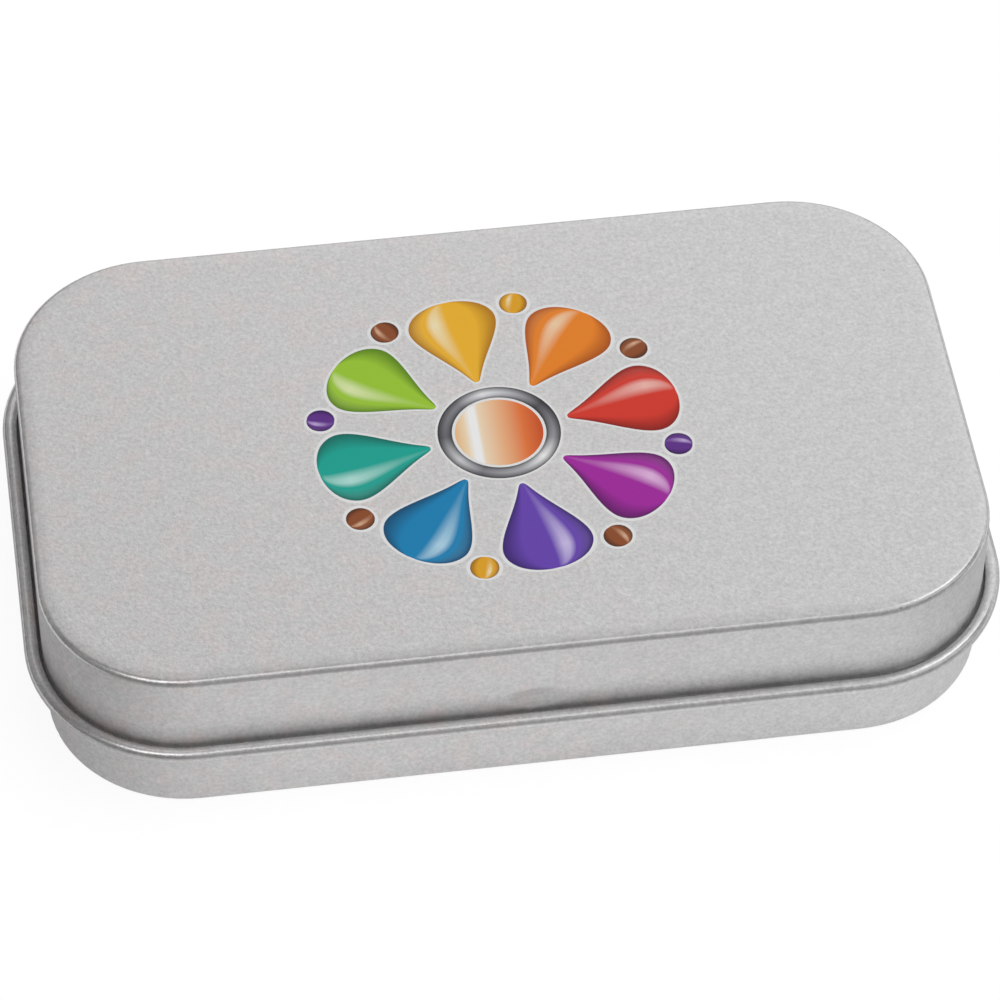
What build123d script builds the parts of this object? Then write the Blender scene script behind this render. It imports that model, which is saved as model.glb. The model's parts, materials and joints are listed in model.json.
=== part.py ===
from build123d import *
from math import copysign, cos, radians, sin, sqrt, tan
import os

# A hinged tinplate box, in mm. It stands on XY with its middle at the origin, its length
# lies along X, and its hinge is at the back, towards +Y. Base and lid are both pressed
# from one gauge of sheet. The lid slips over the neck of the base and turns on its own
# curled edge, which two tongues of the base wrap round.

# Overall sizes
sheet = 0.25
lid_length = 91.6
lid_width = 55.6
lid_corner_radius = 13.8
lid_edge_radius = 0.65
tin_height = 18.0
base_edge_radius = 0.9

# Curled edge of the lid, rolled outwards
curl_drop = 9.4
curl_offset = 0.97
curl_radius = 0.72
curl_turn = 250

# Base: lower wall, shoulder, leaning neck and rim rolled inwards
base_inset = 0.16
shoulder_drop = 0.55
shoulder_turn = 40
neck_gap = 0.15
neck_lean = 5
rim_radius = 0.7
rim_turn = 285
lid_headroom = 0.2

# Hinge: tongues cut from the back of the neck, and the windows they pass through
tongue_width = 9.0
tongue_spacing = 46.0
tongue_bend_radius = 0.3
tongue_root = 0.3
hinge_gap = 0.1
knuckle_turn = 165
window_side_gap = 0.4
window_headroom = 0.45

# Snap dimple in the middle of the front skirt
dimple_length = 6.2
dimple_height = 2.8
dimple_depth = 0.14
dimple_rise = 2.1
dimple_edge_radius = 2.0

# Heights and places that follow from the sizes above. A cut is long enough to pass the sheet.
cut_length = 4 * sheet
curl_z = tin_height - curl_drop
curl_turn_in = curl_offset + sheet
skirt_foot_z = curl_z + curl_turn_in - curl_radius
hinge_y = lid_width / 2 + curl_offset
knuckle_radius = curl_radius + hinge_gap
tongue_places = Locations((-tongue_spacing / 2, 0, 0), (tongue_spacing / 2, 0, 0))
dimple_bend = ((dimple_height / 2) ** 2 + dimple_depth**2) / (2 * dimple_depth)
dimple_sweep = ((dimple_length / 2) ** 2 + dimple_depth**2) / (2 * dimple_depth)

base_length = lid_length - 2 * base_inset
base_width = lid_width - 2 * base_inset
base_corner_radius = lid_corner_radius - base_inset
lower_wall_z = curl_z - shoulder_drop
lean = radians(neck_lean)
shoulder_inset = sheet + neck_gap - base_inset
shoulder_radius = shoulder_inset / (1 + cos(lean) - 2 * cos(radians(shoulder_turn)))
shoulder_rise = shoulder_radius * (2 * sin(radians(shoulder_turn)) - sin(lean))
neck_foot_z = lower_wall_z + shoulder_rise
rim_top_z = tin_height - sheet - lid_headroom
neck_top_z = rim_top_z - rim_radius * (1 - sin(lean))


def strip_side(start, heading, steps, inset):
    """One side of a bent strip. A step is (turn, size): a straight where the turn is 0, or else
    an arc of that radius on the strip's right-hand side, which inset makes that much tighter."""
    spot, way = Vector(start), Vector(heading)
    for turn, size in steps:
        if turn:
            edge = JernArc(spot, way, size - copysign(inset, turn), turn)
        else:
            edge = Line(spot, spot + way * size)
        spot, way = edge @ 1, edge % 1
    return spot


def bent_strip(start, heading, steps):
    """The outline of a strip of sheet that starts with its right-hand side at start."""
    left = Vector(-heading[1], heading[0]) * sheet
    with BuildLine() as outline:
        right_end = strip_side(start, heading, steps, 0)
        left_end = strip_side(Vector(start) + left, heading, steps, sheet)
        Line(start, Vector(start) + left)
        Line(right_end, left_end)
    return outline.edges()


def wall_path(length, width, corner_radius, height):
    """The closed line that a wall of the tin follows, seen from above."""
    x, y = length / 2, width / 2
    with BuildLine(Plane.XY.offset(height)) as path:
        Polyline((x, y), (-x, y), (-x, -y), (x, -y), close=True)
        fillet(path.vertices(), radius=corner_radius)
    return path.wire()


def wall_section_plane(path):
    """The plane square to the start of a path, with its x pointing out of the tin."""
    outward = path @ 0 - Vector(0, 0, (path @ 0).Z)
    along = path % 0
    across = Vector(0, 0, 1).cross(along)
    if across.dot(outward) < 0:
        across = -across
    return Plane(path @ 0, x_dir=across, z_dir=across.cross(Vector(0, 0, 1)))


def neck_face_y(height):
    """Where the outside of the neck's back wall stands at a height."""
    return base_width / 2 - shoulder_inset - (height - neck_foot_z) * tan(lean)


def dimple_form(start, growth):
    """The rounded form behind the snap dimple, from a depth behind the skirt's face inwards."""
    face_y = -lid_width / 2
    centre = (0, face_y + dimple_depth - dimple_sweep, curl_z + dimple_rise)
    ring = Location(centre) * Torus(dimple_sweep - dimple_bend, dimple_bend + growth)
    block = Location((0, face_y + start, curl_z + dimple_rise)) * Box(
        dimple_length + cut_length,
        dimple_depth + cut_length,
        dimple_height + cut_length,
        align=(Align.CENTER, Align.MIN, Align.CENTER),
    )
    return ring & block


# Lid: top and skirt, then the curl below the skirt
curl_steps = [(90, curl_turn_in), (curl_turn, curl_radius)]
curl_path = wall_path(lid_length, lid_width, lid_corner_radius, skirt_foot_z)
dimple_bulge = dimple_form(sheet / 2, sheet)
dimple_hollow = dimple_form(-dimple_depth, 0)

with BuildPart() as lid:
    with BuildSketch(Plane.XY.offset(skirt_foot_z)):
        RectangleRounded(lid_length, lid_width, lid_corner_radius)
    extrude(amount=tin_height - skirt_foot_z)
    fillet(lid.faces().sort_by(Axis.Z)[-1].edges(), radius=lid_edge_radius)
    offset(amount=-sheet, openings=lid.faces().sort_by(Axis.Z)[0])
    with BuildSketch(wall_section_plane(curl_path)):
        make_face(bent_strip((-sheet, 0), (0, -1), curl_steps))
    sweep(path=curl_path)

    # Windows for the tongues. The curl is left whole in them, as the rod that they turn on.
    with BuildSketch(Plane.YZ):
        with Locations((hinge_y, curl_z - curl_turn_in)):
            Rectangle(
                curl_offset + cut_length,
                curl_turn_in + knuckle_radius + sheet + window_headroom,
                align=(Align.MAX, Align.MIN),
            )
        with Locations((hinge_y, curl_z)):
            Circle(curl_radius + hinge_gap / 2, mode=Mode.SUBTRACT)
    window_tool = extrude(
        amount=tongue_width / 2 + window_side_gap, both=True, mode=Mode.PRIVATE
    )
    with tongue_places:
        add(window_tool, mode=Mode.SUBTRACT)

    # Snap dimple, pressed inwards
    add(dimple_bulge)
    add(dimple_hollow, mode=Mode.SUBTRACT)
    dimple_face = lid.faces(Select.LAST).sort_by(Axis.Y)[-1]
    fillet(dimple_face.edges(), radius=dimple_edge_radius)
lid.part.label = "lid"

# Base: bottom and lower wall, then the shoulder, the leaning neck and the rolled rim
neck_slope = (neck_top_z - neck_foot_z) / cos(lean)
rim_steps = [
    (shoulder_turn, shoulder_radius),
    (neck_lean - shoulder_turn, shoulder_radius),
    (0, neck_slope),
    (rim_turn, rim_radius),
]
neck_path = wall_path(base_length, base_width, base_corner_radius, lower_wall_z)

# Tongue: up out of the neck, straight back over the curl, then down round it
bend_z = curl_z + knuckle_radius - tongue_bend_radius * (1 + sin(lean))
bend_y = neck_face_y(bend_z)
tongue_reach = hinge_y - bend_y - tongue_bend_radius * cos(lean)
tongue_heading = (-sin(lean), cos(lean))
tongue_start = (bend_y + tongue_root * sin(lean), bend_z - tongue_root * cos(lean))
tongue_steps = [
    (0, tongue_root),
    (-90 - neck_lean, tongue_bend_radius),
    (0, tongue_reach),
    (-knuckle_turn, knuckle_radius),
]
tongue_length = tongue_reach + radians(90 + neck_lean) * (tongue_bend_radius + sheet / 2)
tongue_length += radians(knuckle_turn) * (knuckle_radius + sheet / 2)

with BuildPart() as base:
    with BuildSketch():
        RectangleRounded(base_length, base_width, base_corner_radius)
    extrude(amount=lower_wall_z)
    fillet(base.faces().sort_by(Axis.Z)[0].edges(), radius=base_edge_radius)
    offset(amount=-sheet, openings=base.faces().sort_by(Axis.Z)[-1])
    with BuildSketch(wall_section_plane(neck_path)):
        make_face(bent_strip((0, 0), (0, 1), rim_steps))
    sweep(path=neck_path)

    # The slots that the tongues were cut from, then the tongues
    with tongue_places:
        with Locations((0, bend_y, bend_z)):
            Box(
                tongue_width,
                cut_length,
                tongue_length,
                rotation=(neck_lean, 0, 0),
                align=(Align.CENTER, Align.CENTER, Align.MIN),
                mode=Mode.SUBTRACT,
            )
    with BuildSketch(Plane.YZ):
        make_face(bent_strip(tongue_start, tongue_heading, tongue_steps))
    tongue = extrude(amount=tongue_width / 2, both=True, mode=Mode.PRIVATE)
    with tongue_places:
        add(tongue)
base.part.label = "base"

# Room that the front of the skirt has as it swings up past the rim
swing_reach = lid_width + curl_offset - sheet
rim_height = neck_top_z - curl_z
skirt_nearest = swing_reach - sqrt(swing_reach**2 - rim_height**2)
rim_gap = lid_width / 2 - sheet - neck_face_y(neck_top_z)
print("gap between skirt and rim:", round(rim_gap, 3), "needs", round(skirt_nearest, 3))

os.makedirs("parts", exist_ok=True)
export_step(lid.part, "parts/lid.step")
export_step(base.part, "parts/base.step")
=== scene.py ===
import bpy
import json
import math
from mathutils import Matrix, Vector

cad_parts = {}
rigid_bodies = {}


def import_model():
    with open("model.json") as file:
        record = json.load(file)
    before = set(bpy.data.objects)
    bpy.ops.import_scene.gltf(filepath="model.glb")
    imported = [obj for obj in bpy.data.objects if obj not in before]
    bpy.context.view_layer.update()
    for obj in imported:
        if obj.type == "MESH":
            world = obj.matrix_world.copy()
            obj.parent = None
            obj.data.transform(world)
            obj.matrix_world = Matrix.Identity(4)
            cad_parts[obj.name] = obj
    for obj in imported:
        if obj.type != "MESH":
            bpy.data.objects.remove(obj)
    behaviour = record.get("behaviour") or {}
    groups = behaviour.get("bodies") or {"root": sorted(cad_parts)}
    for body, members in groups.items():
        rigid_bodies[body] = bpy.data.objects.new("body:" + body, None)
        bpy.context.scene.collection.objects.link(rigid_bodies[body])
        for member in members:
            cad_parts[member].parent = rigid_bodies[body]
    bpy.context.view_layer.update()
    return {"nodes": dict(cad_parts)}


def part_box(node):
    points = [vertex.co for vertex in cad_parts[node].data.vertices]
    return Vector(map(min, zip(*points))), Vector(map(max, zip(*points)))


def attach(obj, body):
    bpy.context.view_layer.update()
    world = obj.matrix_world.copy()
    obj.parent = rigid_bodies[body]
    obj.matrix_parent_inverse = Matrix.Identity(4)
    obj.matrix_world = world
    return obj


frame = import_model()
mm = 0.001
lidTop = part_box("lid")[1].z
print("frame loaded, lid's top at", round(lidTop / mm, 3), "mm")


# Small helpers
def deselectAll():
    for item in bpy.context.view_layer.objects:
        item.select_set(False)


def pick(piece):
    # one piece selected and active, as an operator wants it
    deselectAll()
    piece.select_set(True)
    bpy.context.view_layer.objects.active = piece


def colour(hexCode):
    # sRGB hex to the linear values that a shader takes
    channels = []
    for start in (1, 3, 5):
        value = int(hexCode[start:start + 2], 16) / 255
        channels.append(value / 12.92 if value <= 0.04045 else ((value + 0.055) / 1.055) ** 2.4)
    return (*channels, 1.0)


def addNode(tree, kind, settings=None, links=None):
    # one node with its settings, and the nodes or sockets that feed it
    node = tree.nodes.new(kind)
    for name, value in (settings or {}).items():
        if isinstance(name, int) or name in node.inputs:
            node.inputs[name].default_value = value
        elif name == "stops":
            # places and tones of a colour ramp
            ramp = node.color_ramp.elements
            ramp[0].position, ramp[1].position = value[0][0], value[-1][0]
            ramp[0].color, ramp[1].color = colour(value[0][1]), colour(value[-1][1])
            for place, tone in value[1:-1]:
                ramp.new(place).color = colour(tone)
        else:
            setattr(node, name, value)
    for name, source in (links or {}).items():
        socket = source.outputs[0] if hasattr(source, "outputs") else source
        tree.links.new(socket, node.inputs[name])
    return node


def newMaterial(name):
    material = bpy.data.materials.new(name)
    material.use_nodes = True
    material.node_tree.nodes.clear()
    return material, material.node_tree


# Camera, at the photograph's viewing angle
cameraSetup = {
    "azimuth": -8.57,  # degrees, 0 looks along +Y
    "elevation": 48.40,
    "roll": 0.736,
    "distance": 467.0,  # mm from the point looked at
    "aim": (-0.85, -9.02),  # mm, on the lid's top
    "lens": 175.2,
    "sensor": 36.0,
    "clipStart": 10.0,  # mm
}


def makeCamera(setup):
    azimuth = math.radians(setup["azimuth"])
    elevation = math.radians(setup["elevation"])
    roll = math.radians(setup["roll"])
    backward = Vector((
        math.sin(azimuth) * math.cos(elevation),
        -math.cos(azimuth) * math.cos(elevation),
        math.sin(elevation),
    ))
    aim = Vector((setup["aim"][0] * mm, setup["aim"][1] * mm, lidTop))
    right = Vector((0, 0, 1)).cross(backward).normalized()
    up = backward.cross(right)
    rolledRight = right * math.cos(roll) + up * math.sin(roll)
    rolledUp = up * math.cos(roll) - right * math.sin(roll)
    turn = Matrix((rolledRight, rolledUp, backward)).transposed().to_4x4()
    data = bpy.data.cameras.new("photoCamera")
    data.lens = setup["lens"]
    data.sensor_width = setup["sensor"]
    data.clip_start = setup["clipStart"] * mm
    camera = bpy.data.objects.new("photoCamera", data)
    bpy.context.scene.collection.objects.link(camera)
    camera.matrix_world = Matrix.Translation(aim + backward * setup["distance"] * mm) @ turn
    bpy.context.scene.camera = camera


makeCamera(cameraSetup)
bpy.context.scene.view_settings.view_transform = "Standard"
print("camera set")

# Light: a soft white tent with darker gaps, which a satin metal edge draws as bright and dark
# lines. It is two rows of greys along half circles over the tin, multiplied, and a soft box at
# each side.
studio = {
    # from the back horizon (0) over the zenith (0.5) to the front horizon (1)
    "backToFront": [
        (0.0, "#7A7A7A"), (0.08, "#B8B8B8"), (0.14, "#FFFFFF"), (0.30, "#FFFFFF"),
        (0.34, "#3C3C3C"), (0.48, "#3C3C3C"), (0.55, "#DADADA"), (0.655, "#DADADA"),
        (0.75, "#A0A0A0"), (0.88, "#7E7E7E"), (1.0, "#909090"),
    ],
    # from the right horizon (0) over the zenith (0.5) to the left horizon (1)
    "rightToLeft": [
        (0.0, "#B0B0B0"), (0.10, "#E0E0E0"), (0.27, "#F2F2F2"), (0.36, "#FFFFFF"),
        (0.515, "#FFFFFF"), (0.57, "#868686"), (0.667, "#8D8D8D"), (0.767, "#8D8D8D"),
        (0.84, "#767676"), (1.0, "#545454"),
    ],
    "strength": 0.885,
    # how much of a plain white background covers this light, to the eye and in the metal
    "eyeWhite": 1.0,
    "mirrorWhite": 0.1,
    # the way to each box, and its half width and where its light has died out in degrees
    "softBoxes": [
        {"way": (-0.28, -0.38, 0.88), "half": 7, "end": 19, "strength": 1.7},
        {"way": (0.45, 0.20, 0.87), "half": 7, "end": 15, "strength": 2.7},
    ],
    "keyLamp": {"place": (190, -200, 800), "size": 900, "power": 3.2},  # mm and W
}


def eyeAndMirror(tree, eyeShare, mirrorShare):
    # how much white shows: one share to the camera itself, another in metal and glass
    ray = addNode(tree, "ShaderNodeLightPath")
    eye = addNode(tree, "ShaderNodeMath", {"operation": "MULTIPLY", 1: eyeShare}, {
        0: ray.outputs["Is Camera Ray"],
    })
    mirror = addNode(tree, "ShaderNodeMath", {"operation": "MAXIMUM"}, {
        0: ray.outputs["Is Glossy Ray"], 1: ray.outputs["Is Transmission Ray"],
    })
    mirror = addNode(tree, "ShaderNodeMath", {"operation": "MULTIPLY"}, {0: mirror, 1: mirrorShare})
    return addNode(tree, "ShaderNodeMath", {"operation": "MAXIMUM"}, {0: eye, 1: mirror})


def makeWorld(setup):
    world = bpy.data.worlds.new("studioWorld")
    bpy.context.scene.world = world
    world.use_nodes = True
    tree = world.node_tree
    tree.nodes.clear()
    place = addNode(tree, "ShaderNodeTexCoord").outputs["Generated"]
    split = addNode(tree, "ShaderNodeSeparateXYZ", links={0: place})
    greys = []
    for axis, stops in (("Y", setup["backToFront"]), ("X", setup["rightToLeft"])):
        turn = addNode(tree, "ShaderNodeMath", {"operation": "ARCTAN2"}, {
            0: split.outputs["Z"], 1: split.outputs[axis],
        })
        turn = addNode(tree, "ShaderNodeMapRange", {"From Max": math.pi}, {"Value": turn})
        greys.append(addNode(tree, "ShaderNodeValToRGB", {"stops": stops}, {0: turn}))
    sky = addNode(tree, "ShaderNodeVectorMath", {"operation": "MULTIPLY"}, {
        0: greys[0], 1: greys[1],
    })
    for box in setup["softBoxes"]:
        way = Vector(box["way"]).normalized()
        near = addNode(tree, "ShaderNodeVectorMath", {"operation": "DOT_PRODUCT", 1: way}, {
            0: place,
        })
        light = addNode(tree, "ShaderNodeMapRange", {
            "interpolation_type": "SMOOTHSTEP",
            "From Min": math.cos(math.radians(box["end"])),
            "From Max": math.cos(math.radians(box["half"])),
            "To Max": box["strength"],
        }, {"Value": near.outputs["Value"]})
        sky = addNode(tree, "ShaderNodeVectorMath", {"operation": "ADD"}, {0: sky, 1: light})
    lit = addNode(tree, "ShaderNodeBackground", {"Strength": setup["strength"]}, {"Color": sky})
    white = addNode(tree, "ShaderNodeBackground", {"Color": colour("#FFFFFF")})
    mirrorShare = addNode(tree, "ShaderNodeValue")
    mirrorShare.outputs[0].default_value = setup["mirrorWhite"]
    share = eyeAndMirror(tree, setup["eyeWhite"], mirrorShare)
    mix = addNode(tree, "ShaderNodeMixShader", links={0: share, 1: lit, 2: white})
    addNode(tree, "ShaderNodeOutputWorld", links={"Surface": mix})


def makeLamp(name, setup):
    data = bpy.data.lights.new(name, "AREA")
    data.shape = "DISK"
    data.size = setup["size"] * mm
    data.energy = setup["power"]
    lamp = bpy.data.objects.new(name, data)
    bpy.context.scene.collection.objects.link(lamp)
    lamp.location = Vector(setup["place"]) * mm
    lamp.rotation_euler = lamp.location.to_track_quat("Z", "Y").to_euler()
    lamp.visible_glossy = False  # the metal mirrors the tent alone


makeWorld(studio)
makeLamp("keyLamp", studio["keyLamp"])
print("studio lit")

# Floor: white paper that keeps a soft shadow. To the eye most of it is plain white. The metal
# mirrors a painted pool of light on it, which lies round the tin, with painted shade on the paper
# in front and beside the corners, which shows only in the metal's reflection.
floorSetup = {
    "side": 3000,  # mm
    "colour": "#F4F4F4",
    "white": 1.07,  # glow that brings the paper to plain white, with what light falls on it
    "eyeWhite": 0.85,  # share of the glow to the eye
    "mirrorWhite": 0.22,  # and in the metal, in the pool
    # tone of the painted shade on the paper round the pool, which only the metal mirrors
    "paintedShadeTone": "#787878",
    "mirrorShadeShare": 0.8,  # share of the painted shade in the metal, outside the pool
    "poolMiddle": (4, 0, 0),  # mm
    "aside": (10, 74),  # mm off the middle along X, between which the pool dies out
    "farAside": (74, 96),  # and between which the painted shade fades out again
    "inFront": (40, 62),  # mm off the middle along Y, between which the pool dies out
    "behind": (32, 50),  # mm along Y, behind which all is bright
}


def makeFloor(setup):
    deselectAll()
    bpy.ops.mesh.primitive_plane_add(size=setup["side"] * mm, location=(0, 0, 0))
    floor = bpy.context.active_object
    floor.name = "floor"
    material, tree = newMaterial("paperSweep")
    ray = addNode(tree, "ShaderNodeLightPath")
    place = addNode(tree, "ShaderNodeTexCoord").outputs["Object"]
    middle = Vector(setup["poolMiddle"]) * mm
    away = addNode(tree, "ShaderNodeVectorMath", {"operation": "SUBTRACT", 1: middle}, {0: place})
    away = addNode(tree, "ShaderNodeVectorMath", {"operation": "ABSOLUTE"}, {0: away})
    away = addNode(tree, "ShaderNodeSeparateXYZ", links={0: away})
    along = addNode(tree, "ShaderNodeSeparateXYZ", links={0: place})

    def fade(name, source, start, end):
        return addNode(tree, "ShaderNodeMapRange", {
            "interpolation_type": "SMOOTHSTEP",
            "From Min": setup[name][0] * mm, "From Max": setup[name][1] * mm,
            "To Min": start, "To Max": end,
        }, {"Value": source})

    # painted shade from the pool's sides to far aside, and in front, but not behind, and only in a
    # mirror
    dark = fade("aside", away.outputs["X"], 0, 1)
    for operation, part in (
        ("MULTIPLY", fade("farAside", away.outputs["X"], 1, 0)),
        ("MAXIMUM", fade("inFront", away.outputs["Y"], 0, 1)),
        ("MULTIPLY", fade("behind", along.outputs["Y"], 1, 0)),
        ("MULTIPLY", ray.outputs["Is Glossy Ray"]),
    ):
        dark = addNode(tree, "ShaderNodeMath", {"operation": operation}, {0: dark, 1: part})
    mirrorShare = addNode(tree, "ShaderNodeMapRange", {
        "To Min": setup["mirrorWhite"], "To Max": setup["mirrorShadeShare"],
    }, {"Value": dark})
    share = eyeAndMirror(tree, setup["eyeWhite"], mirrorShare)
    white = (setup["white"], setup["white"], setup["white"], 1)
    # the glow's colour turns to the painted shade where the mask is dark, for mirror rays alone
    tone = addNode(tree, "ShaderNodeMix", {
        "data_type": "RGBA", 6: white, 7: colour(setup["paintedShadeTone"]),
    }, {0: dark})
    paper = addNode(tree, "ShaderNodeBsdfDiffuse", {"Color": colour(setup["colour"])})
    glow = addNode(tree, "ShaderNodeEmission", links={"Color": tone.outputs[2]})
    both = addNode(tree, "ShaderNodeMixShader", links={0: share, 1: paper, 2: glow})
    addNode(tree, "ShaderNodeOutputMaterial", links={"Surface": both})
    floor.data.materials.append(material)


makeFloor(floorSetup)
print("floor laid")

# Tinplate: thin steel sheet, cold rolled and coated with tin, then left matt. It is a neutral grey
# metal with a grainy coat that is softly blotched, faintly pinkish in places, and burnished bright
# where the tools rolled its edges.
tinplate = {
    "cool": "#E8E8E8",
    "warm": "#EFE6E4",
    "metallic": 0.8,  # the matt coat scatters a fifth of the light
    "roughness": 0.36,
    "roughnessSpread": 0.03,  # rougher and smoother with the blotches
    "edgeRoughness": 0.21,  # rolled edges and curls
    # noises with their size in mm: warm and cool patches, blotches of the coat, and its grain,
    # which is finer on the real sheet and is drawn as coarse as it needs to show
    "tint": {"size": 3.5, "detail": 4.0, "rough": 0.65},
    "mottle": {"size": 1.5, "detail": 2.0, "rough": 0.5},
    "grain": {"size": 0.42, "detail": 3.0, "rough": 0.75},
    "noiseRange": (0.3, 0.7),  # between which nearly all of a noise lies
    "tintRange": (-0.35, 0.75),  # share of the warm colour
    "tintFade": (-5.0, 30.0),  # mm along X, over which the warm patches die out
    "mottleDepth": 0.045,  # lighter and darker by this much
    "grainDepth": 0.14,
    "grainBump": 0.026,  # mm
    "speckSpacing": 4.5,  # mm, between places where a dark speck may lie
    "speckRadius": (0.063, 0.117),  # mm, where a speck starts to fade and where it ends
    "speckTone": 0.5,
    # the lid's top falls off a little before its edge: where that starts and ends inside the lid's
    # outline, and how deep it gets, in mm
    "crown": {"half": (45.8, 27.8), "cornerRadius": 13.8, "start": 1.9, "end": 0.65, "depth": 0.05},
    # m, the way each piece's pattern is moved, so that the two differ
    "shift": {"base": (0.31, 0.217, 0.0), "lid": (0.0, 0.0, 0.0)},
}


def crownBump(tree, spot, crown):
    # the lid's outline is a rectangle with round corners, whatever the height
    cornerX, cornerY = [(half - crown["cornerRadius"]) * mm for half in crown["half"]]
    anyHeight = 1.0
    reach = addNode(tree, "ShaderNodeVectorMath", {"operation": "ABSOLUTE"}, {0: spot})
    reach = addNode(tree, "ShaderNodeVectorMath", {
        "operation": "SUBTRACT", 1: (cornerX, cornerY, anyHeight),
    }, {0: reach})
    reach = addNode(tree, "ShaderNodeVectorMath", {"operation": "MAXIMUM"}, {0: reach})
    reach = addNode(tree, "ShaderNodeVectorMath", {"operation": "LENGTH"}, {0: reach})
    fall = addNode(tree, "ShaderNodeMapRange", {
        "From Min": (crown["cornerRadius"] - crown["start"]) * mm,
        "From Max": (crown["cornerRadius"] - crown["end"]) * mm,
    }, {"Value": reach.outputs["Value"]})
    fall = addNode(tree, "ShaderNodeMath", {"operation": "POWER", 1: 2}, {0: fall})
    height = addNode(tree, "ShaderNodeMath", {"operation": "SUBTRACT", 0: 1}, {1: fall})
    return addNode(tree, "ShaderNodeBump", {"Distance": crown["depth"] * mm, "Strength": 1}, {
        "Height": height,
    })


def tinplateMaterial(name, setup, shift):
    material, tree = newMaterial(name)
    coordinates = addNode(tree, "ShaderNodeTexCoord")
    spot = coordinates.outputs["Object"]
    place = addNode(tree, "ShaderNodeMapping", {"Location": shift}, {"Vector": spot})

    def noise(kind):
        return addNode(tree, "ShaderNodeTexNoise", {
            "Scale": 1 / (kind["size"] * mm), "Detail": kind["detail"], "Roughness": kind["rough"],
        }, {"Vector": place})

    def spread(source, low, high):
        return addNode(tree, "ShaderNodeMapRange", {
            "From Min": setup["noiseRange"][0], "From Max": setup["noiseRange"][1],
            "To Min": low, "To Max": high,
        }, {"Value": source})

    def spreadRound(source, middle, depth):
        return spread(source, middle - depth, middle + depth)

    mottle = noise(setup["mottle"])
    grain = noise(setup["grain"])

    # warm patches on the left, neutral grey on the right
    along = addNode(tree, "ShaderNodeSeparateXYZ", links={0: spot}).outputs["X"]
    fade = addNode(tree, "ShaderNodeMapRange", {
        "From Min": setup["tintFade"][0] * mm, "From Max": setup["tintFade"][1] * mm,
        "To Min": 1, "To Max": 0,
    }, {"Value": along})
    warmth = addNode(tree, "ShaderNodeMath", {"operation": "MULTIPLY"}, {
        0: spread(noise(setup["tint"]), *setup["tintRange"]), 1: fade,
    })
    tint = addNode(tree, "ShaderNodeMix", {
        "data_type": "RGBA", 6: colour(setup["cool"]), 7: colour(setup["warm"]),
    }, {0: warmth})

    # blotches, grain and sparse specks
    cells = addNode(tree, "ShaderNodeTexVoronoi", {"Scale": 1 / (setup["speckSpacing"] * mm)}, {
        "Vector": place,
    })
    speck = addNode(tree, "ShaderNodeMapRange", {
        "From Min": setup["speckRadius"][0] / setup["speckSpacing"],
        "From Max": setup["speckRadius"][1] / setup["speckSpacing"],
        "To Min": setup["speckTone"], "To Max": 1,
    }, {"Value": cells.outputs["Distance"]})
    shade = addNode(tree, "ShaderNodeMath", {"operation": "MULTIPLY"}, {
        0: spreadRound(mottle, 1, setup["mottleDepth"]),
        1: spreadRound(grain, 1, setup["grainDepth"]),
    })
    shade = addNode(tree, "ShaderNodeMath", {"operation": "MULTIPLY"}, {0: shade, 1: speck})
    finish = addNode(tree, "ShaderNodeVectorMath", {"operation": "SCALE"}, {
        0: tint.outputs[2], "Scale": shade,
    })
    bump = addNode(tree, "ShaderNodeBump", {"Distance": setup["grainBump"] * mm, "Strength": 1}, {
        "Height": grain, "Normal": crownBump(tree, spot, setup["crown"]),
    })

    # how much a place is neither flat nor upright, times 4, which is 1 halfway round an edge
    normal = addNode(tree, "ShaderNodeSeparateXYZ", links={0: coordinates.outputs["Normal"]})
    flat = addNode(tree, "ShaderNodeMath", {"operation": "POWER", 1: 2}, {0: normal.outputs["Z"]})
    upright = addNode(tree, "ShaderNodeMath", {"operation": "SUBTRACT", 0: 1}, {1: flat})
    edge = addNode(tree, "ShaderNodeMath", {"operation": "MULTIPLY"}, {0: flat, 1: upright})
    edge = addNode(tree, "ShaderNodeMath", {"operation": "MULTIPLY", 1: 4}, {0: edge})
    rough = addNode(tree, "ShaderNodeMix", {"data_type": "FLOAT", 3: setup["edgeRoughness"]}, {
        0: edge, 2: spreadRound(mottle, setup["roughness"], setup["roughnessSpread"]),
    })
    metal = addNode(tree, "ShaderNodeBsdfPrincipled", {"Metallic": setup["metallic"]}, {
        "Base Color": finish, "Roughness": rough, "Normal": bump,
    })
    addNode(tree, "ShaderNodeOutputMaterial", links={"Surface": metal})
    return material


for nodeName, shift in tinplate["shift"].items():
    node = frame["nodes"][nodeName]
    node.data.materials.clear()
    node.data.materials.append(tinplateMaterial(nodeName + "Tinplate", tinplate, shift))
print("tinplate finished")

# The picture on the lid, screen printed: a white under-print first, then glossy inks over it. It is
# a ring of paint drops and dots round a pan of orange paint with a metal rim.
picture = {
    "middle": (0.3, -0.3),  # mm on the lid's top
    "turn": 10.0,  # degrees
    "foot": 0.01,  # mm sunk into the lid
    "underHeight": 0.008,  # mm above the lid
    "inkHeight": 0.02,
    "border": 0.24,  # mm of under-print that shows round each motif
    "white": "#F2F2F2",
    "roughness": 0.45,
    "specular": 0.3,
    "cutsAcross": 6,  # of a motif's grid, before it is smoothed
    "smoothing": 2,  # levels
    "sameRow": 0.02,  # mm, vertices this close along a motif are one row of its grid
}


def selectWhere(piece, test):
    # vertices chosen by their place, in edit mode
    bpy.ops.object.mode_set(mode="EDIT")
    bpy.ops.mesh.select_mode(type="VERT")
    bpy.ops.mesh.select_all(action="DESELECT")
    bpy.ops.object.mode_set(mode="OBJECT")
    for vertex in piece.data.vertices:
        vertex.select = test(vertex.co / mm)
    bpy.ops.object.mode_set(mode="EDIT")


def copyOf(piece, name):
    # a copy with its own mesh
    copy = piece.copy()
    copy.data = piece.data.copy()
    copy.name = name
    copy.data.name = name
    bpy.context.scene.collection.objects.link(copy)
    return copy


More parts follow.
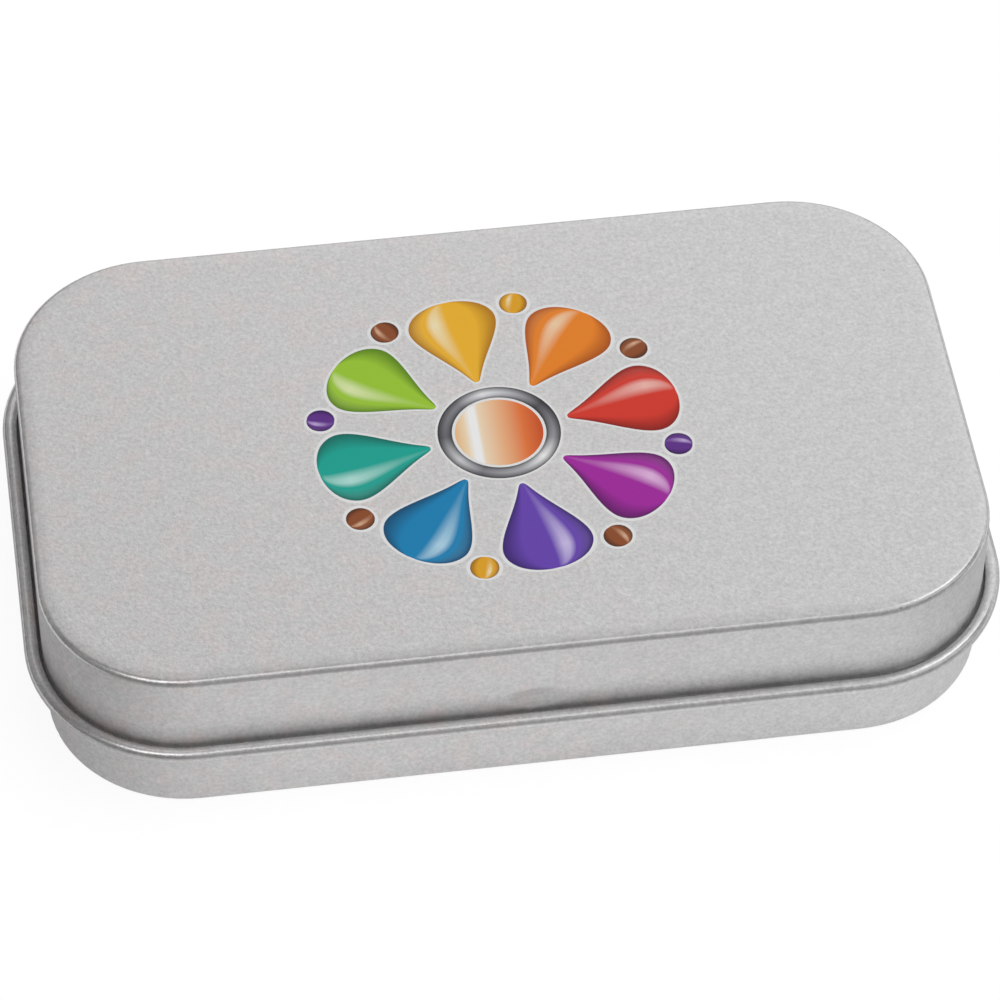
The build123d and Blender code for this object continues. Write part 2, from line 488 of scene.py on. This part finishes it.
def layInk(piece, ink, height, angle=0.0):
    # a flat motif gets its thickness and its ink, and is turned round the picture's middle
    pick(piece)
    piece.data.materials.append(ink)
    bpy.ops.object.mode_set(mode="EDIT")
    bpy.ops.mesh.select_all(action="SELECT")
    bpy.ops.mesh.extrude_region_move(TRANSFORM_OT_translate={
        "value": (0, 0, (height + picture["foot"]) * mm),
    })
    bpy.ops.mesh.select_all(action="SELECT")
    bpy.ops.mesh.normals_make_consistent(inside=False)
    bpy.ops.object.mode_set(mode="OBJECT")
    piece.rotation_euler.z = math.radians(angle + picture["turn"])
    middleX, middleY = picture["middle"]
    piece.location = (middleX * mm, middleY * mm, lidTop - picture["foot"] * mm)
    bpy.ops.object.transform_apply(location=True, rotation=True, scale=True)


def inkMaterial(name, shade=None):
    # glossy ink, or the white under-print where it has no shade
    material, tree = newMaterial(name)
    ink = addNode(tree, "ShaderNodeBsdfPrincipled", {
        "Base Color": colour(picture["white"]),
        "Roughness": picture["roughness"],
        "Specular IOR Level": picture["specular"],
    })
    addNode(tree, "ShaderNodeOutputMaterial", links={"Surface": ink})
    if shade:
        tree.links.new(shade(tree), ink.inputs["Base Color"])
    return material


whiteInk = inkMaterial("whiteUnderPrint")

# Motifs of the ring. Each starts as a grid, whose cross rows are moved and scaled one by one to
# the outline: how far along it a row lies (0 to 1), and its share of the full width.
drop = {
    "start": 7.0,  # mm from the middle
    "length": 11.2,
    "width": 8.9,
    "offset": 0.0,  # degrees
    "outline": [
        (0.0, 0.04), (0.03, 0.10), (0.12, 0.20), (0.28, 0.44), (0.44, 0.71), (0.60, 0.94),
        (0.74, 1.03), (0.86, 0.90), (0.94, 0.67), (0.985, 0.38), (1.0, 0.14),
    ],
    "inks": [  # dark, full and light tone of each, anticlockwise
        ("#8E1A12", "#E03A2A", "#FFD2C8"),
        ("#B4540F", "#F58A22", "#FFE6C2"),
        ("#B87A10", "#F9BC2C", "#FFF6D0"),
        ("#5B8712", "#A2D135", "#F4FBC8"),
        ("#0B6A5F", "#12AC9B", "#CDF7EF"),
        ("#0A4A72", "#0F87BE", "#C8ECFC"),
        ("#39206E", "#6C46B8", "#E2D6FC"),
        ("#5E0F62", "#AA24A6", "#F9CFF6"),
    ],
}
dot = {
    "start": 16.1,
    "length": 2.7,
    "width": 2.7,
    "offset": 22.5,
    "outline": [
        (0.0, 0.20), (0.03, 0.42), (0.10, 0.66), (0.22, 0.89), (0.36, 1.0), (0.50, 1.04),
        (0.64, 1.0), (0.78, 0.89), (0.90, 0.66), (0.97, 0.42), (1.0, 0.20),
    ],
    "inks": [  # each twice round the ring
        ("#4A2210", "#94502A", "#F0C4A0"),
        ("#9A640A", "#EBAA20", "#FFF2C0"),
        ("#4A2210", "#94502A", "#F0C4A0"),
        ("#341650", "#64308F", "#D8C0F2"),
    ] * 2,
}
# light on a motif: between which places across it the full tone lies, and where the streak of
# light lies across and along it, where white is full strength
motifLight = {
    "full": (0.24, 0.84),
    "across": [
        (0.0, "#000000"), (0.54, "#000000"), (0.66, "#E8E8E8"), (0.72, "#E8E8E8"),
        (0.80, "#101010"), (0.93, "#484848"), (1.0, "#000000"),
    ],
    "along": [
        (0.0, "#000000"), (0.30, "#808080"), (0.62, "#FFFFFF"), (0.86, "#B0B0B0"),
        (0.95, "#000000"),
    ],
}


def motifShade(dark, full, light):
    # shaded across the motif's own UV map, with a streak of light along it
    fullStart, fullEnd = motifLight["full"]
    tones = [(0.0, dark), (fullStart, full), (fullEnd, full), (1.0, dark)]

    def shade(tree):
        place = addNode(tree, "ShaderNodeTexCoord").outputs["UV"]
        split = addNode(tree, "ShaderNodeSeparateXYZ", links={0: place})
        rows = ((tones, "Y"), (motifLight["across"], "Y"), (motifLight["along"], "X"))
        body, across, along = [
            addNode(tree, "ShaderNodeValToRGB", {"stops": stops}, {0: split.outputs[axis]})
            for stops, axis in rows
        ]
        glint = addNode(tree, "ShaderNodeVectorMath", {"operation": "MULTIPLY"}, {
            0: across, 1: along,
        })
        return addNode(tree, "ShaderNodeMix", {"data_type": "RGBA", 7: colour(light)}, {
            0: glint, 6: body,
        }).outputs[2]

    return shade


def makeMotif(setup, border=0.0):
    deselectAll()
    rows = len(setup["outline"]) - 1
    start = setup["start"] - border
    length = setup["length"] + 2 * border
    width = setup["width"] + 2 * border
    bpy.ops.mesh.primitive_grid_add(
        x_subdivisions=rows, y_subdivisions=picture["cutsAcross"],
        size=length * mm, location=((start + length / 2) * mm, 0, 0),
    )
    piece = bpy.context.active_object
    bpy.ops.object.transform_apply(location=True, rotation=True, scale=True)
    bpy.ops.object.mode_set(mode="EDIT")
    bpy.ops.mesh.select_all(action="SELECT")
    bpy.ops.transform.resize(value=(1, width / length, 1), center_override=(0, 0, 0))
    # the rows at the ends move first, so that none meets another
    for row in sorted(range(rows + 1), key=lambda number: -abs(number - rows / 2)):
        place, part = setup["outline"][row]
        x = start + row * length / rows
        selectWhere(piece, lambda spot: abs(spot.x - x) < picture["sameRow"])
        bpy.ops.transform.resize(value=(1, part + border / width, 1), center_override=(0, 0, 0))
        bpy.ops.transform.translate(value=((place - row / rows) * length * mm, 0, 0))
    bpy.ops.object.mode_set(mode="OBJECT")
    bpy.ops.object.modifier_add(type="SUBSURF")
    smoothing = piece.modifiers[-1]
    smoothing.levels = picture["smoothing"]
    smoothing.render_levels = picture["smoothing"]
    bpy.ops.object.modifier_apply(modifier=smoothing.name)
    return piece


def printMotifs(name, setup):
    # one motif and one under-print are modelled, and their copies stand round the middle
    first = makeMotif(setup)
    firstUnder = makeMotif(setup, picture["border"])
    unders = []
    inks = []
    for number, tones in enumerate(setup["inks"], 1):
        angle = setup["offset"] + (number - 1) * 360 / len(setup["inks"])
        under = copyOf(firstUnder, f"{name}Under{number}")
        layInk(under, whiteInk, picture["underHeight"], angle)
        unders.append(under)
        piece = copyOf(first, f"{name}{number}")
        ink = inkMaterial(f"{name}Ink{number}", motifShade(*tones))
        layInk(piece, ink, picture["inkHeight"], angle)
        inks.append(piece)
    bpy.data.objects.remove(first)
    bpy.data.objects.remove(firstUnder)
    return unders, inks


# The pan of paint in the middle, and its rim
pan = {
    "paintRadius": 4.3,  # mm
    "rimInner": 4.6,
    "rimOuter": 6.0,
    "sides": 96,  # of each circle
    "paintAcross": [
        (0.0, "#F6C48A"), (0.12, "#FBE2BC"), (0.20, "#FFFFFF"), (0.26, "#FFFFFF"),
        (0.30, "#FBE4C4"), (0.52, "#F7BC8C"), (0.78, "#EE7A3C"), (1.0, "#D2501E"),
    ],
    "rimAround": [
        (0.0, "#6E6E74"), (0.10, "#D8D8DC"), (0.18, "#8A8A90"), (0.30, "#B8B8BE"),
        (0.38, "#FFFFFF"), (0.46, "#A0A0A6"), (0.60, "#5A5A60"), (0.70, "#C4C4CA"),
        (0.78, "#F4F4F8"), (0.86, "#8E8E94"), (1.0, "#6E6E74"),
    ],
    "rimAcross": [
        (0.0, "#707070"), (0.25, "#E8E8E8"), (0.5, "#FFFFFF"), (0.8, "#C0C0C0"),
        (1.0, "#5C5C5C"),
    ],
}


def fromMiddle(tree):
    # Object coordinates from the picture's middle, in mm
    place = addNode(tree, "ShaderNodeTexCoord").outputs["Object"]
    middle = (picture["middle"][0] * mm, picture["middle"][1] * mm, lidTop)
    place = addNode(tree, "ShaderNodeVectorMath", {"operation": "SUBTRACT", 1: middle}, {0: place})
    return addNode(tree, "ShaderNodeVectorMath", {"operation": "SCALE", "Scale": 1 / mm}, {
        0: place,
    })


def paintShade(tree):
    split = addNode(tree, "ShaderNodeSeparateXYZ", links={0: fromMiddle(tree)})
    across = addNode(tree, "ShaderNodeMapRange", {
        "From Min": -pan["paintRadius"], "From Max": pan["paintRadius"],
    }, {"Value": split.outputs["X"]})
    paint = addNode(tree, "ShaderNodeValToRGB", {"stops": pan["paintAcross"]}, {0: across})
    return paint.outputs[0]


def rimShade(tree):
    place = fromMiddle(tree)
    split = addNode(tree, "ShaderNodeSeparateXYZ", links={0: place})
    turn = addNode(tree, "ShaderNodeMath", {"operation": "ARCTAN2"}, {
        0: split.outputs["Y"], 1: split.outputs["X"],
    })
    turn = addNode(tree, "ShaderNodeMapRange", {"From Min": -math.pi, "From Max": math.pi}, {
        "Value": turn,
    })
    around = addNode(tree, "ShaderNodeValToRGB", {"stops": pan["rimAround"]}, {0: turn})
    reach = addNode(tree, "ShaderNodeVectorMath", {"operation": "LENGTH"}, {0: place})
    reach = addNode(tree, "ShaderNodeMapRange", {
        "From Min": pan["rimInner"], "From Max": pan["rimOuter"],
    }, {"Value": reach.outputs["Value"]})
    across = addNode(tree, "ShaderNodeValToRGB", {"stops": pan["rimAcross"]}, {0: reach})
    return addNode(tree, "ShaderNodeVectorMath", {"operation": "MULTIPLY"}, {
        0: around, 1: across,
    }).outputs[0]


def makeRound(name, outer, inner=0.0):
    # a disc, or a ring where it has an inner radius
    deselectAll()
    bpy.ops.mesh.primitive_circle_add(
        vertices=pan["sides"], radius=outer * mm, fill_type="NGON", location=(0, 0, 0),
    )
    piece = bpy.context.active_object
    piece.name = name
    if inner:
        bpy.ops.object.mode_set(mode="EDIT")
        bpy.ops.mesh.select_all(action="SELECT")
        bpy.ops.mesh.inset(thickness=(outer - inner) * mm)
        bpy.ops.mesh.delete(type="FACE")
        bpy.ops.object.mode_set(mode="OBJECT")
    return piece


dropUnders, dropInks = printMotifs("paintDrop", drop)
dotUnders, dotInks = printMotifs("paintDot", dot)
print("paint drops and dots printed")

panUnder = makeRound("panUnder", pan["rimOuter"] + picture["border"])
layInk(panUnder, whiteInk, picture["underHeight"])
panRim = makeRound("panRim", pan["rimOuter"], pan["rimInner"])
layInk(panRim, inkMaterial("rimInk", rimShade), picture["inkHeight"])
panPaint = makeRound("panPaint", pan["paintRadius"])
layInk(panPaint, inkMaterial("paintInk", paintShade), picture["inkHeight"])

# The under-print is one piece, and each ink its own
underPrints = [*dropUnders, *dotUnders, panUnder]
inkPieces = [*dropInks, *dotInks, panRim, panPaint]
deselectAll()
for under in underPrints:
    under.select_set(True)
bpy.context.view_layer.objects.active = underPrints[0]
bpy.ops.object.join()
underPrints[0].name = "underPrint"
for piece in [underPrints[0], *inkPieces]:
    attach(piece, "lid")
print("picture finished,", len(inkPieces), "inks")
